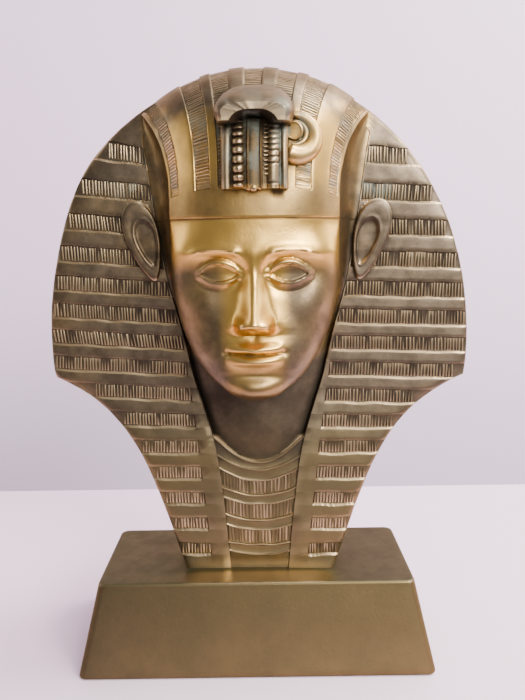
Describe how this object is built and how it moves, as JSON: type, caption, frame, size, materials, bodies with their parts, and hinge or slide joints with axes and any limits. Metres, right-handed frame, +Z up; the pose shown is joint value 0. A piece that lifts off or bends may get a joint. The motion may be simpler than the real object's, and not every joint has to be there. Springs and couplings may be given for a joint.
{
  "type": "cast brass bust on a plinth",
  "caption": "Cast brass bust of an Egyptian king in a striped headcloth with a cobra on the brow, standing on a tapered brass plinth.",
  "frame": {"origin": "middle of the plinth's underside", "axes": "+Z up, the face looks along -Y, +X to the right of a viewer who faces the statue"},
  "size_m": [0.2135, 0.1064, 0.2999],
  "materials": {
    "bust_brass": "aged satin cast brass, polished on the high places, brown patina and a little green in the carving",
    "plinth_brass": "dull brushed brass with brown stains"
  },
  "bodies": {
    "root": {"bust": "bust_brass", "plinth": "plinth_brass"}
  },
  "joints": []
}
